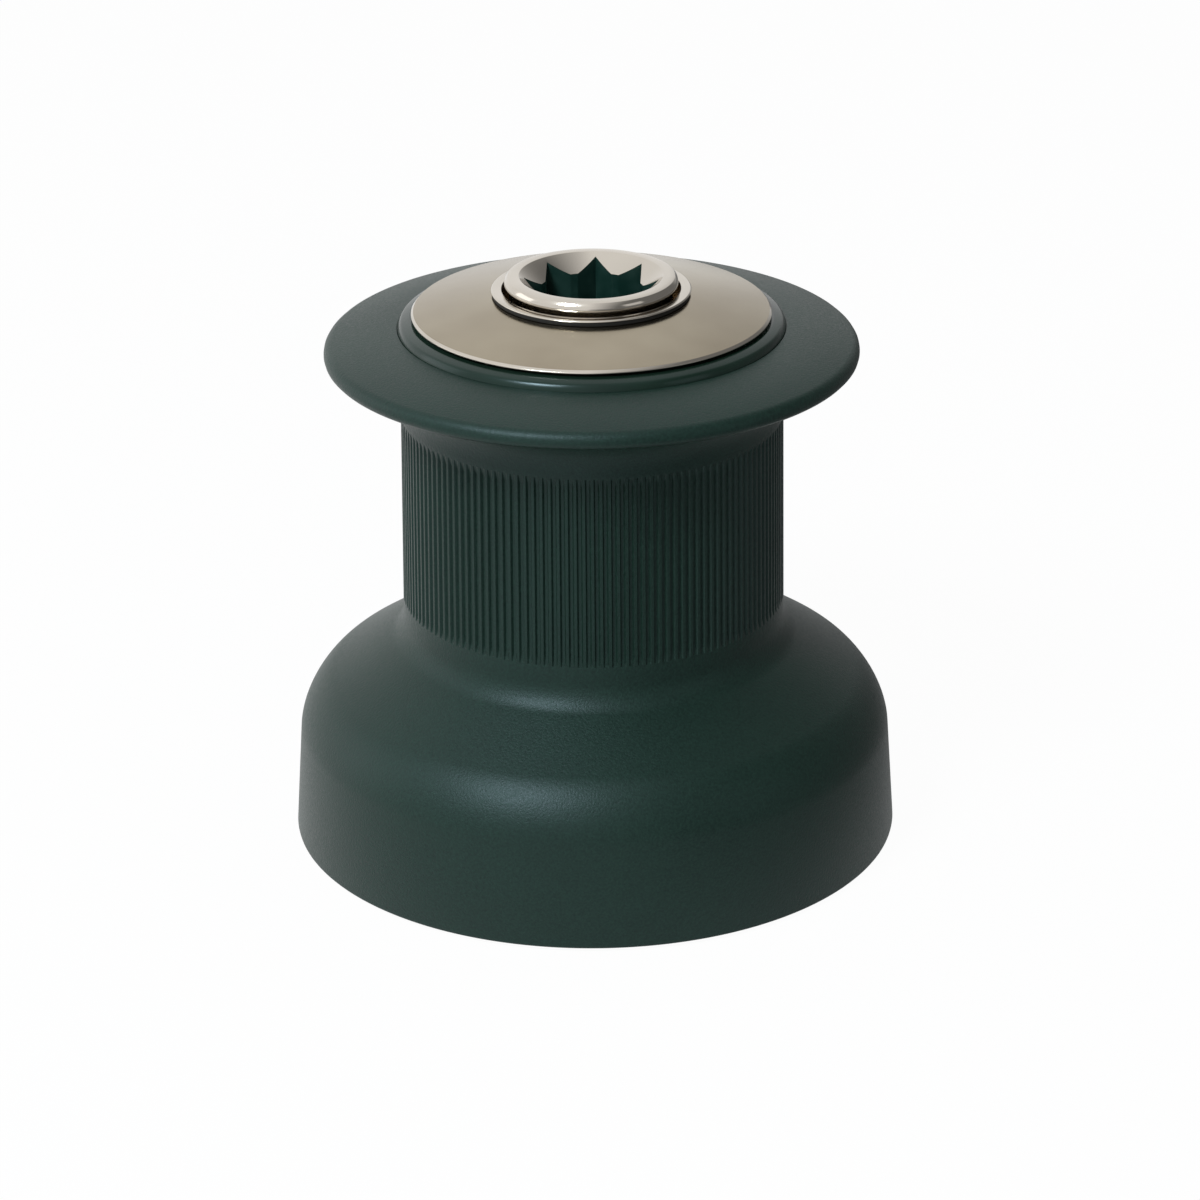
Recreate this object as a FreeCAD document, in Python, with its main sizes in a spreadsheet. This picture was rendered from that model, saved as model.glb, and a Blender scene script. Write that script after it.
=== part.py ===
import FreeCAD, Part
import math
import os

import Sketcher

# A plain-top, single-speed sailing winch of the 1:1 kind: the handle turns the spindle, the spindle's
# pawls turn the drum, and the base's pawls hold the drum against the rope.
# The frame: Z is the drum's axis, up; Z = 0 is the deck; -Y is the side that faces the sailor.
# Every length is in millimetres. A name that ends in _z is a height above the deck.
SIZES = {
    # clearances
    "running_fit": 0.05,
    "seat_gap": 0.05,
    "free_gap": 0.4,
    "screw_play": 0.1,
    "screw_head_play": 0.2,
    "groove_play": 0.1,
    "roller_play": 0.1,
    "pawl_ring_gap": 0.8,
    "carrier_ring_gap": 0.6,
    "edge_step": 0.2,
    "drum_lip_gap": 1.4,
    "cage_side_gap": 0.7,
    "washer_side_gap": 0.4,
    "web_bore_gap": 0.4,
    "cap_bore_gap": 0.5,
    "ring_end_play": 0.2,
    # how far a cut runs past the metal
    "cut_beyond": 1.0,
    # base
    "base_side_gap": 2.1,
    "base_flange": 7.0,
    "base_edge_chamfer": 1.2,
    "base_boss_top_z": 27.5,
    "base_boss_slope": 2.0,
    "base_core_inner": 21.5,
    "base_core_outer": 29.5,
    "base_core_depth": 11.0,
    "base_core_rib": 8.0,
    "base_core_count": 6,
    "deck_bolt_margin": 7.0,
    "deck_bolt_hole": 6.6,
    "deck_bolt_head": 12.0,
    "deck_bolt_count": 5,
    "drain_width": 6.0,
    "drain_depth": 2.5,
    "drain_count": 3,
    # centre stem
    "stem_radius": 23.5,
    "stem_top_z": 79.0,
    "stem_bore": 16.8,
    "stem_spigot_radius": 18.0,
    "stem_spigot_z": 8.0,
    "stem_spigot_bore": 12.0,
    "stem_flange": 4.0,
    "stem_screw_circle": 54.8,
    "stem_screw_hole": 4.4,
    "stem_screw_head": 8.0,
    "stem_screw_length": 13.0,
    "stem_screw_key": 1.25,
    "stem_screw_key_depth": 1.6,
    "stem_screw_count": 4,
    # bushes
    "lower_bush_top_z": 24.0,
    "upper_bush_length": 19.0,
    "upper_bush_flange_radius": 21.0,
    "upper_bush_flange": 1.35,
    # drum, outside
    "skirt_radius": 57.0,
    "skirt_clearance": 0.8,
    "skirt_edge_chamfer": 0.3,
    "shoulder_radius": 55.2,
    "shoulder_z": 27.5,
    "shoulder_round": 14.0,
    "barrel_foot_radius": 35.75,
    "barrel_foot_z": 40.2,
    "barrel_foot_fillet": 6.0,
    "barrel_top_radius": 35.2,
    "barrel_top_z": 92.7,
    "barrel_top_fillet": 9.5,
    "rim_radius": 49.13,
    "rim_under_z": 93.85,
    "rim_top_z": 96.75,
    "rim_under_chamfer": 0.6,
    "rim_top_round": 1.85,
    "flange_top_z": 99.65,
    "rib_count": 144,
    "rib_groove_depth": 0.5,
    "rib_groove_share": 0.5,
    "rib_foot_z": 46.7,
    "rib_top_z": 83.0,
    # drum, inside
    "skirt_wall": 3.4,
    "drum_bore_foot_z": 32.2,
    "drum_web": 7.0,
    "upstand_radius": 30.0,
    "upstand_top_z": 100.5,
    # ratchet rings
    "tooth_land": 1.5,
    "tooth_root_land": 3.0,
    "holding_tooth_count": 24,
    "holding_ring_radius": 40.5,
    "holding_ring_root": 36.0,
    "holding_ring_crest": 33.6,
    "holding_ring_z": 20.0,
    "holding_ring_height": 8.0,
    "holding_ring_wall": 3.0,
    "ratchet_gap": 0.4,
    "holding_ring_pin": 1.5,
    "holding_ring_pin_circle": 76.6,
    "drive_tooth_count": 18,
    "drive_ring_root": 24.2,
    "drive_ring_crest": 22.0,
    "drive_ring_z": 81.5,
    "drive_ring_height": 9.3,
    "drive_ring_step": 1.0,
    "drive_seat_lead": 0.7,
    "drive_ring_pin": 1.25,
    "drive_ring_pin_circle": 52.7,
    "ring_pin_depth": 4.0,
    "ring_pin_count": 4,
    # collar and cap
    "collar_radius": 35.55,
    "collar_seat_z": 98.7,
    "collar_side_z": 99.9,
    "collar_shoulder_radius": 35.0,
    "collar_shoulder_z": 100.9,
    "collar_shoulder_round": 0.8,
    "collar_top_radius": 33.4,
    "collar_top_z": 101.4,
    "cap_radius": 33.0,
    "cap_edge_z": 102.15,
    "cap_edge": 0.15,
    "cap_edge_chamfer": 0.4,
    "cap_sleeve_radius": 27.5,
    "cap_sleeve": 2.2,
    "cap_sleeve_z": 98.2,
    "cap_lip_radius": 18.3,
    "cap_lip_chamfer": 0.2,
    "cap_top_z": 106.7,
    "seal_groove_radius": 17.3,
    "seal_groove_z": 105.5,
    "seal_groove": 0.9,
    "seal_radius": 18.1,
    # spindle
    "spindle_end_z": 3.0,
    "spindle_radius": 10.0,
    "spindle_step_z": 58.0,
    "journal_radius": 14.8,
    "carrier_height": 9.6,
    "carrier_floor": 3.2,
    "spindle_neck_radius": 15.9,
    "head_neck_radius": 15.0,
    "head_under_z": 107.3,
    "head_under_chamfer": 0.4,
    "spindle_top_z": 109.2,
    "spindle_top_round": 1.2,
    "collet_groove_radius": 14.2,
    "collet_groove_z": 98.8,
    "collet_height": 2.3,
    "collet_radius": 22.0,
    "collet_split": 0.6,
    "collet_washer": 0.7,
    "socket_square": 17.5,
    "socket_bore": 9.8,
    "socket_mouth": 13.2,
    "socket_mouth_depth": 3.05,
    "socket_floor_z": 72.0,
    "socket_lock_radius": 12.6,
    "socket_lock_height": 5.0,
    "circlip_groove_radius": 9.2,
    "circlip_z": 5.2,
    "circlip": 1.2,
    "circlip_radius": 12.4,
    "circlip_gap": 5.0,
    "thrust_washer": 0.85,
    "spindle_washer": 1.2,
    "spindle_washer_radius": 15.5,
    # bearings
    "roller_radius": 2.95,
    "roller_count": 12,
    "roller_length": 9.6,
    "cage_height": 14.0,
    "cage_window": 10.0,
    "cage_gap": 0.25,
    "bearing_washer": 1.2,
    "bearing_spacer": 1.5,
    # pawls
    "holding_pivot": 28.0,
    "holding_swing": 18.0,
    "holding_hub": 3.2,
    "holding_nose": 2.7,
    "holding_pin": 1.5,
    "holding_pocket_drop": 0.5,
    "holding_pin_z": 12.0,
    "drive_pivot": 17.4,
    "drive_swing": 22.0,
    "drive_hub": 2.6,
    "drive_nose": 2.2,
    "drive_pin": 1.2,
    "pawl_gap": 0.2,
    "pawl_tip_gap": 0.45,
    "pawl_lift_gap": 0.3,
    "pawl_pocket_gap": 0.5,
    "pawl_count": 2,
    "pin_hole_floor": 0.5,
    "spring_wire": 0.3,
    "spring_gap": 0.2,
    "spring_leg": 4.0,
}

doc = FreeCAD.newDocument("SailingWinch")
sheet = doc.addObject("Spreadsheet::Sheet", "Sizes")
for row, (alias, value) in enumerate(SIZES.items(), start=1):
    sheet.set(f"A{row}", alias)
    sheet.set(f"B{row}", str(value))
    sheet.setAlias(f"B{row}", alias)
doc.recompute()


class Size:
    """A number worked out from the sheet, with the same sum written as text for setExpression."""

    def __init__(self, number, text):
        self.number = float(number)
        self.text = text

    def __add__(self, other):
        other = as_size(other)
        return Size(self.number + other.number, f"({self.text} + {other.text})")

    def __sub__(self, other):
        other = as_size(other)
        return Size(self.number - other.number, f"({self.text} - {other.text})")

    def __mul__(self, other):
        other = as_size(other)
        return Size(self.number * other.number, f"({self.text} * {other.text})")

    def __truediv__(self, other):
        other = as_size(other)
        return Size(self.number / other.number, f"({self.text} / {other.text})")

    def __neg__(self):
        return Size(-self.number, f"(0 - {self.text})")


def as_size(value):
    return value if isinstance(value, Size) else Size(value, repr(float(value)))


def root_of(size):
    return Size(math.sqrt(size.number), f"sqrt({size.text})")


def cosine(degrees):
    return Size(math.cos(math.radians(degrees.number)), f"cos({degrees.text} * 1deg)")


def sine(degrees):
    return Size(math.sin(math.radians(degrees.number)), f"sin({degrees.text} * 1deg)")


def slope_angle(up, across):
    """The angle of a slope, in degrees."""
    degrees = math.degrees(math.atan(up.number / across.number))
    return Size(degrees, f"(atan({up.text} / {across.text}) / 1deg)")


class Cells:
    """Reads an alias of the sheet as a Size: cells.base_flange."""

    def __getattr__(self, alias):
        return Size(sheet.get(alias), f"Sizes.{alias}")


cells = Cells()


def origin_plane(body, role):
    return next(item for item in body.Origin.OriginFeatures if item.Role == role)


def new_body(name):
    body = doc.addObject("PartDesign::Body", name)
    body.Label = name
    return body


def new_sketch(body, name, plane="XY_Plane", height=None, turn=None):
    """A sketch on an origin plane, lifted by height along its normal and turned by turn degrees."""
    sketch = body.newObject("Sketcher::SketchObject", name)
    sketch.AttachmentSupport = [(origin_plane(body, plane), "")]
    sketch.MapMode = "FlatFace"
    if turn is not None:
        flat_turn = FreeCAD.Rotation(FreeCAD.Vector(0, 0, 1), turn)
        sketch.AttachmentOffset = FreeCAD.Placement(FreeCAD.Vector(), flat_turn)
    if height is not None:
        sketch.setExpression("AttachmentOffset.Base.z", as_size(height).text)
        offset = sketch.AttachmentOffset
        offset.Base.z = as_size(height).number
        sketch.AttachmentOffset = offset
    return sketch


def pin_point(sketch, geometry, position, across, up):
    """Holds a sketch point at its distances from the origin, each bound to the sheet."""
    for kind, axis, size in (("DistanceX", -2, across), ("DistanceY", -1, up)):
        if size.number == 0:
            sketch.addConstraint(Sketcher.Constraint("PointOnObject", geometry, position, axis))
        elif size.number > 0:
            held = Sketcher.Constraint(kind, -1, 1, geometry, position, size.number)
            sketch.setExpression(f"Constraints[{sketch.addConstraint(held)}]", size.text)
        else:
            held = Sketcher.Constraint(kind, geometry, position, -1, 1, -size.number)
            sketch.setExpression(f"Constraints[{sketch.addConstraint(held)}]", (-size).text)


def draw_outline(sketch, corners):
    """Draws a closed outline through corners (across, up) or (across, up, fillet)."""
    spots = [(as_size(corner[0]), as_size(corner[1])) for corner in corners]
    rounds = [as_size(corner[2]) if len(corner) > 2 else None for corner in corners]
    points = [FreeCAD.Vector(across.number, up.number, 0) for across, up in spots]
    count = len(points)
    entries = []
    exits = []
    arcs = {}
    for index, point in enumerate(points):
        if rounds[index] is None:
            entries.append(point)
            exits.append(point)
            continue
        back = (points[index - 1] - point).normalize()
        ahead = (points[(index + 1) % count] - point).normalize()
        half = back.getAngle(ahead) / 2
        radius = rounds[index].number
        reach = radius / math.tan(half)
        centre = point + (back + ahead).normalize() * (radius / math.sin(half))
        entry = point + back * reach
        exit_ = point + ahead * reach
        leftward = back.cross(ahead).z < 0
        first, last = (entry, exit_) if leftward else (exit_, entry)
        start = math.atan2(first.y - centre.y, first.x - centre.x)
        end = math.atan2(last.y - centre.y, last.x - centre.x)
        circle = Part.Circle(centre, FreeCAD.Vector(0, 0, 1), radius)
        arcs[index] = (Part.ArcOfCircle(circle, start, end), leftward)
        entries.append(entry)
        exits.append(exit_)
    lines = [
        sketch.addGeometry(Part.LineSegment(exits[index], entries[(index + 1) % count]), False)
        for index in range(count)
    ]
    for index, (across, up) in enumerate(spots):
        before = lines[index - 1]
        after = lines[index]
        if index not in arcs:
            sketch.addConstraint(Sketcher.Constraint("Coincident", before, 2, after, 1))
            pin_point(sketch, after, 1, across, up)
            continue
        arc, leftward = arcs[index]
        curve = sketch.addGeometry(arc, False)
        entry_end, exit_end = (1, 2) if leftward else (2, 1)
        sketch.addConstraint(Sketcher.Constraint("Tangent", before, 2, curve, entry_end))
        sketch.addConstraint(Sketcher.Constraint("Tangent", curve, exit_end, after, 1))
        rounding = Sketcher.Constraint("Radius", curve, rounds[index].number)
        held = sketch.addConstraint(rounding)
        sketch.setExpression(f"Constraints[{held}]", rounds[index].text)
        corner = sketch.addGeometry(Part.Point(points[index]), True)
        sketch.addConstraint(Sketcher.Constraint("PointOnObject", corner, 1, before))
        sketch.addConstraint(Sketcher.Constraint("PointOnObject", corner, 1, after))
        pin_point(sketch, corner, 1, across, up)


def draw_circle(sketch, across, up, radius):
    across, up, radius = as_size(across), as_size(up), as_size(radius)
    centre = FreeCAD.Vector(across.number, up.number, 0)
    circle = Part.Circle(centre, FreeCAD.Vector(0, 0, 1), radius.number)
    round_ = sketch.addGeometry(circle, False)
    held = sketch.addConstraint(Sketcher.Constraint("Radius", round_, radius.number))
    sketch.setExpression(f"Constraints[{held}]", radius.text)
    if across.number == 0 and up.number == 0:
        sketch.addConstraint(Sketcher.Constraint("Coincident", round_, 3, -1, 1))
    else:
        pin_point(sketch, round_, 3, across, up)


def polar(radius, degrees):
    """The point (across, up) at a radius and an angle, both sizes."""
    degrees = as_size(degrees)
    return radius * cosine(degrees), radius * sine(degrees)


def revolve(body, name, corners):
    """Turns an outline of (radius, height) corners about the Z axis."""
    sketch = new_sketch(body, f"{name}_profile", "XZ_Plane")
    draw_outline(sketch, corners)
    turned = body.newObject("PartDesign::Revolution", name)
    turned.Profile = sketch
    turned.ReferenceAxis = (sketch, ["V_Axis"])
    turned.Angle = 360
    return turned


def tube(body, name, inner, outer, foot, top):
    return revolve(body, name, [(inner, foot), (outer, foot), (outer, top), (inner, top)])


def pad(body, name, sketch, length):
    padded = body.newObject("PartDesign::Pad", name)
    padded.Profile = sketch
    padded.setExpression("Length", as_size(length).text)
    padded.Length = as_size(length).number
    return padded


def pocket(body, name, sketch, depth):
    """Cuts downwards from the sketch."""
    cut = body.newObject("PartDesign::Pocket", name)
    cut.Profile = sketch
    cut.setExpression("Length", as_size(depth).text)
    cut.Length = as_size(depth).number
    return cut


def countersunk_hole(body, name, sketch, diameter, head):
    doc.recompute()
    hole = body.newObject("PartDesign::Hole", name)
    hole.Profile = sketch
    doc.recompute()
    hole.Threaded = False
    hole.DepthType = "ThroughAll"
    hole.HoleCutType = "Countersink"
    hole.HoleCutCustomValues = True
    hole.setExpression("Diameter", diameter.text)
    hole.setExpression("HoleCutDiameter", head.text)
    hole.HoleCutCountersinkAngle = 90
    return hole


def around(body, name, feature, count, angle=360):
    """Repeats a feature about the Z axis, evenly over the angle."""
    pattern = body.newObject("PartDesign::PolarPattern", name)
    pattern.Originals = [feature]
    pattern.Axis = (origin_plane(body, "Z_Axis"), [""])
    pattern.Angle = angle
    pattern.setExpression("Occurrences", as_size(count).text)
    pattern.Occurrences = int(as_size(count).number)
    body.Tip = pattern
    return pattern


def group_of(body):
    """Lets a body hold a set of like, separate solids."""
    body.AllowCompound = True


# Heights and radii that more than one piece uses.
base_radius = cells.skirt_radius - cells.skirt_wall - cells.base_side_gap
boss_radius = cells.holding_ring_crest - cells.pawl_ring_gap
holding_pocket_z = cells.holding_ring_z + cells.holding_pocket_drop
stem_flange_radius = boss_radius - cells.edge_step
drum_lip_radius = stem_flange_radius + cells.drum_lip_gap
drum_bore = cells.stem_radius + cells.roller_radius * 2 + cells.roller_play
drive_ring_radius = drum_bore - cells.drive_ring_step
carrier_radius = cells.drive_ring_crest - cells.carrier_ring_gap
drum_web_z = cells.drive_ring_z + cells.drive_ring_height + cells.ring_end_play
drum_web_bore = cells.spindle_neck_radius + cells.web_bore_gap
cap_bore = cells.spindle_neck_radius + cells.cap_bore_gap
upstand_bore = cells.cap_sleeve_radius + cells.screw_play
cage_inner = cells.stem_radius + cells.cage_side_gap
cage_outer = drum_bore - cells.cage_side_gap
stem_flange_top = cells.base_boss_top_z + cells.stem_flange
bush_flange_top = cells.stem_top_z + cells.upper_bush_flange
carrier_foot = bush_flange_top + cells.running_fit
carrier_top = carrier_foot + cells.carrier_height
web_top = drum_web_z + cells.drum_web
holding_ring_top = cells.holding_ring_z + cells.holding_ring_height
collet_foot = cells.collet_groove_z + cells.groove_play
collet_groove_top = collet_foot + cells.collet_height + cells.groove_play
seal_foot = cells.seal_groove_z + cells.seat_gap
# The turn of the stem's screws and of the deck bolts about the axis, in degrees.
SCREW_TURN = 45
DECK_BOLT_TURN = 18
lower_cage_foot = stem_flange_top + cells.seat_gap + cells.bearing_washer + cells.cage_gap
upper_cage_foot = cells.stem_top_z - cells.cage_height
holding_seat_radius = cells.holding_ring_radius + cells.seat_gap
drive_seat_radius = drive_ring_radius + cells.seat_gap


def draw_sector(sketch, inner, outer, low, high):
    """Draws a ring segment between two angles, in degrees."""
    arcs = []
    limits = (math.radians(low.number), math.radians(high.number))
    for radius in (inner, outer):
        circle = Part.Circle(FreeCAD.Vector(), FreeCAD.Vector(0, 0, 1), radius.number)
        arc = sketch.addGeometry(Part.ArcOfCircle(circle, *limits), False)
        sketch.addConstraint(Sketcher.Constraint("Coincident", arc, 3, -1, 1))
        held = sketch.addConstraint(Sketcher.Constraint("Radius", arc, radius.number))
        sketch.setExpression(f"Constraints[{held}]", radius.text)
        arcs.append(arc)
    for position, degrees in ((1, low), (2, high)):
        ends = []
        for radius in (inner, outer):
            across, up = polar(radius, degrees)
            ends.append(FreeCAD.Vector(across.number, up.number, 0))
        line = sketch.addGeometry(Part.LineSegment(*ends), False)
        sketch.addConstraint(Sketcher.Constraint("Coincident", line, 1, arcs[0], position))
        sketch.addConstraint(Sketcher.Constraint("Coincident", line, 2, arcs[1], position))
        for radius, end in ((inner, 1), (outer, 2)):
            pin_height(sketch, line, end, polar(radius, degrees)[1])


def pin_height(sketch, geometry, position, up):
    if up.number >= 0:
        held = Sketcher.Constraint("DistanceY", -1, 1, geometry, position, up.number)
        sketch.setExpression(f"Constraints[{sketch.addConstraint(held)}]", up.text)
    else:
        held = Sketcher.Constraint("DistanceY", geometry, position, -1, 1, -up.number)
        sketch.setExpression(f"Constraints[{sketch.addConstraint(held)}]", (-up).text)


class PawlLie:
    """How a pawl lies: pivot on the X axis, tip swung clockwise, at its tooth or lifted off it."""

    def __init__(self, pivot, hub, nose, pin, swing, root, crest):
        self.pivot = pivot
        self.hub = hub
        self.nose = nose
        self.pin = pin
        self.swing = swing
        reach = root - cells.pawl_tip_gap
        across, up = polar(reach, -swing)
        along = across - pivot
        self.length = root_of(along * along + up * up)
        self.engaged = (along / self.length, up / self.length)
        lifted = crest - cells.pawl_lift_gap
        squares = lifted * lifted - pivot * pivot - self.length * self.length
        cos_ = squares / (pivot * self.length * 2)
        self.lifted = (cos_, -root_of(as_size(1) - cos_ * cos_))
        tip = self.spot(self.lifted, self.length, 0)
        self.lifted_swing = -slope_angle(tip[1], tip[0])
        # The tooth's face is radial; the pawl's end is ground to lie along it.
        face_cos, face_sin = cosine(-swing), sine(-swing)
        self.face_along = face_cos * self.engaged[0] + face_sin * self.engaged[1]
        self.face_aside = face_sin * self.engaged[0] - face_cos * self.engaged[1]

    def spot(self, lie, along, aside):
        """A point that is so far along the arm and to its outer side."""
        cos_, sin_ = lie
        along, aside = as_size(along), as_size(aside)
        return self.pivot + along * cos_ - aside * sin_, along * sin_ + aside * cos_

    def travel(self):
        """The degrees between the two lies."""
        angles = [math.degrees(math.atan2(lie[1].number, lie[0].number))
                  for lie in (self.engaged, self.lifted)]
        return angles[0] - angles[1]


holding_lie = PawlLie(
    cells.holding_pivot, cells.holding_hub, cells.holding_nose, cells.holding_pin,
    cells.holding_swing, cells.holding_ring_root, cells.holding_ring_crest,
)
drive_lie = PawlLie(
    cells.drive_pivot, cells.drive_hub, cells.drive_nose, cells.drive_pin,
    cells.drive_swing, cells.drive_ring_root, cells.drive_ring_crest,
)


def pawl_pockets(body, name, lie, foot, top, rim):
    """Cuts the pockets that the pawls lie in: a round seat for the hub, and room for the arm."""
    gap = cells.pawl_pocket_gap
    seat = new_sketch(body, f"{name}_seat_outline", height=top)
    draw_circle(seat, lie.pivot, 0, lie.hub + gap)
    cut = pocket(body, f"{name}_seat", seat, top - foot)
    around(body, f"{name}_seats", cut, cells.pawl_count)
    room = new_sketch(body, f"{name}_room_outline", height=top)
    inner = lie.pivot - lie.hub - gap
    beyond = gap / lie.pivot * (180 / math.pi)
    outer = rim + cells.cut_beyond
    draw_sector(room, inner, outer, -lie.lifted_swing - beyond, as_size(0))
    cut = pocket(body, f"{name}_room", room, top - foot)
    around(body, f"{name}_rooms", cut, cells.pawl_count)


def make_base():
    """Cast flange and boss: bolts to the deck, and holds the stem and the holding pawls."""
    body = new_body("base")
    bore = cells.stem_spigot_radius + cells.seat_gap
    revolve(body, "base_casting", [
        (bore, 0),
        (base_radius, 0),
        (base_radius, cells.base_flange - cells.base_edge_chamfer),
        (base_radius - cells.base_edge_chamfer, cells.base_flange),
        (boss_radius + cells.base_boss_slope, cells.base_flange),
        (boss_radius, cells.base_flange + cells.base_boss_slope),
        (boss_radius, cells.base_boss_top_z),
        (bore, cells.base_boss_top_z),
    ])
    # Cored segments underneath, with ribs between them.
    core = new_sketch(body, "core_outline", height=cells.base_core_depth)
    middle = (cells.base_core_inner + cells.base_core_outer) / 2
    half_turn = as_size(180) / cells.base_core_count
    half_turn = half_turn - cells.base_core_rib / middle * (90 / math.pi)
    draw_sector(core, cells.base_core_inner, cells.base_core_outer, -half_turn, half_turn)
    cut = pocket(body, "core", core, cells.base_core_depth)
    around(body, "cores", cut, cells.base_core_count)
    # Drains under the flange, so that no water stands inside the base.
    drain = new_sketch(body, "drain_outline", height=cells.drain_depth)
    half_width = cells.drain_width / 2
    drain_mouth = -(base_radius + cells.cut_beyond)
    drain_end = -(cells.base_core_outer - cells.cut_beyond)
    draw_outline(drain, [
        (-half_width, drain_mouth), (half_width, drain_mouth),
        (half_width, drain_end), (-half_width, drain_end),
    ])
    cut = pocket(body, "drain", drain, cells.drain_depth)
    around(body, "drains", cut, cells.drain_count)
    pawl_pockets(
        body, "holding_pocket", holding_lie, holding_pocket_z, cells.base_boss_top_z,
        boss_radius,
    )
    pin_hole = new_sketch(body, "holding_pin_place", height=holding_pocket_z)
    draw_circle(pin_hole, cells.holding_pivot, 0, cells.holding_pin + cells.seat_gap)
    cut = pocket(body, "holding_pin_hole", pin_hole, holding_pocket_z - cells.holding_pin_z)
    around(body, "holding_pin_holes", cut, cells.pawl_count)
    # Holes for the stem's screws.
    screw_hole = new_sketch(body, "stem_screw_place", height=cells.base_boss_top_z, turn=SCREW_TURN)
    draw_circle(screw_hole, cells.stem_screw_circle / 2, 0, cells.stem_screw_hole / 2)
    depth = cells.stem_screw_length - cells.stem_flange + cells.cut_beyond
    cut = pocket(body, "stem_screw_hole", screw_hole, depth)
    around(body, "stem_screw_holes", cut, cells.stem_screw_count)
    # Countersunk holes for the deck bolts.
    bolt_place = new_sketch(body, "deck_bolt_place", height=cells.base_flange, turn=DECK_BOLT_TURN)
    draw_circle(bolt_place, base_radius - cells.deck_bolt_margin, 0, cells.deck_bolt_hole / 2)
    hole = countersunk_hole(
        body, "deck_bolt_hole", bolt_place, cells.deck_bolt_hole, cells.deck_bolt_head
    )
    around(body, "deck_bolt_holes", hole, cells.deck_bolt_count)
    return body


def make_centre_stem():
    """Fixed bronze tube on the base: the drum's bearings run on it, the spindle runs in it."""
    body = new_body("centre_stem")
    revolve(body, "stem_turning", [
        (cells.stem_spigot_bore, cells.stem_spigot_z),
        (cells.stem_spigot_radius, cells.stem_spigot_z),
        (cells.stem_spigot_radius, cells.base_boss_top_z),
        (stem_flange_radius, cells.base_boss_top_z),
        (stem_flange_radius, stem_flange_top),
        (cells.stem_radius, stem_flange_top),
        (cells.stem_radius, cells.stem_top_z),
        (cells.stem_bore, cells.stem_top_z),
        (cells.stem_bore, cells.base_boss_top_z),
        (cells.stem_spigot_bore, cells.base_boss_top_z),
    ])
    place = new_sketch(body, "screw_place", height=stem_flange_top, turn=SCREW_TURN)
    draw_circle(place, cells.stem_screw_circle / 2, 0, cells.stem_screw_hole / 2)
    hole = countersunk_hole(
        body, "screw_hole", place, cells.stem_screw_hole,
        cells.stem_screw_head + cells.screw_head_play,
    )
    around(body, "screw_holes", hole, cells.stem_screw_count)
    return body


def make_stem_screws():
    """Countersunk socket screws that hold the stem to the base."""
    body = new_body("stem_screws")
    group_of(body)
    shank = cells.stem_screw_hole / 2 - cells.screw_play
    head = cells.stem_screw_head / 2
    top = stem_flange_top
    place = cells.stem_screw_circle / 2
    sketch = new_sketch(body, "screw_profile", "XZ_Plane")
    draw_outline(sketch, [
        (place, top - cells.stem_screw_length),
        (place + shank, top - cells.stem_screw_length),
        (place + shank, top - (head - shank)),
        (place + head, top),
        (place, top),
    ])
    axis = sketch.addGeometry(Part.LineSegment(
        FreeCAD.Vector(place.number, 0, 0), FreeCAD.Vector(place.number, 1, 0)
    ), True)
    sketch.addConstraint(Sketcher.Constraint("Vertical", axis))
    pin_point(sketch, axis, 1, place, as_size(0))
    turned = body.newObject("PartDesign::Revolution", "screw")
    turned.Profile = sketch
    turned.ReferenceAxis = (sketch, ["Axis0"])
    turned.Angle = 360
    key = new_sketch(body, "screw_key_outline", height=top)
    across_corners = cells.stem_screw_key * (2 / math.sqrt(3))
    corners = []
    for step in range(6):
        across, up = polar(across_corners, 60 * step + 30)
        corners.append((place + across, up))
    draw_outline(key, corners)
    pocket(body, "screw_key", key, cells.stem_screw_key_depth)
    copies = body.newObject("PartDesign::PolarPattern", "screws")
    copies.Originals = [turned, body.Tip]
    copies.Axis = (origin_plane(body, "Z_Axis"), [""])
    copies.setExpression("Occurrences", cells.stem_screw_count.text)
    copies.Occurrences = int(cells.stem_screw_count.number)
    body.Tip = copies
    body.Placement = FreeCAD.Placement(
        FreeCAD.Vector(), FreeCAD.Rotation(FreeCAD.Vector(0, 0, 1), SCREW_TURN)
    )
    return body


def make_bushes():
    """Bushes pressed in the stem: the lower one carries the spindle's foot, the upper its journal."""
    lower = new_body("lower_spindle_bush")
    tube(
        lower, "lower_bush", cells.spindle_radius + cells.running_fit,
        cells.stem_spigot_bore - cells.seat_gap,
        cells.stem_spigot_z, cells.lower_bush_top_z,
    )
    upper = new_body("upper_spindle_bush")
    outside = cells.stem_bore - cells.seat_gap
    foot = cells.stem_top_z - cells.upper_bush_length
    bore = cells.journal_radius + cells.running_fit
    revolve(upper, "upper_bush", [
        (bore, foot),
        (outside, foot),
        (outside, cells.stem_top_z),
        (cells.upper_bush_flange_radius, cells.stem_top_z),
        (cells.upper_bush_flange_radius, bush_flange_top),
        (bore, bush_flange_top),
    ])
    return [lower, upper]


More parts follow.
